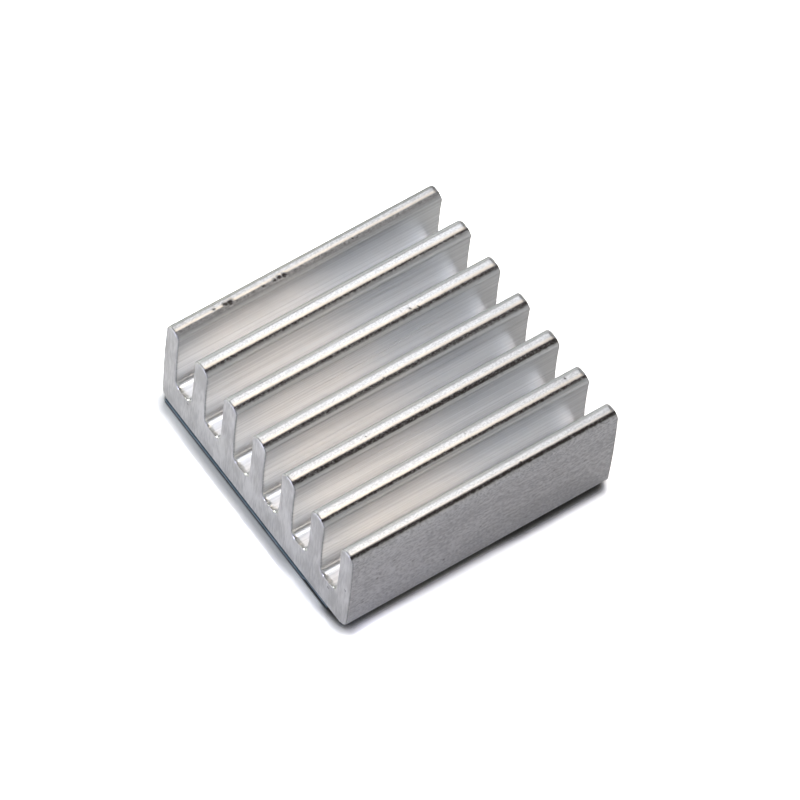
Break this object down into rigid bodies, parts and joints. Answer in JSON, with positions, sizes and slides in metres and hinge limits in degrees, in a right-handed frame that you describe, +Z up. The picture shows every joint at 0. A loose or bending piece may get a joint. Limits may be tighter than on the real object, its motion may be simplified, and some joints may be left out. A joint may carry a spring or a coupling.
{
  "type": "ram heat sink",
  "caption": "Small square finned aluminium heat sink with a sticky thermal tape and its release film on the underside, for cooling a memory chip.",
  "frame": {"origin": "on the underside of the release film, below the middle of the aluminium extrusion", "axes": "+X along the fins, +Y across the fins towards the side that the tape reaches, +Z up from the chip to the fin tips"},
  "size_m": [0.0138, 0.0142, 0.0059],
  "materials": {
    "aluminium": "bare mill finish from the extrusion die on walls and fins, matte saw cut on both ends",
    "tape": "dark blue-green thermal adhesive tape, soft and matte at its cut edges",
    "film": "thin smooth release film, milky and slightly blue"
  },
  "bodies": {
    "root": {"heat_sink": "aluminium", "thermal_tape": "tape", "release_film": "film"}
  },
  "joints": []
}
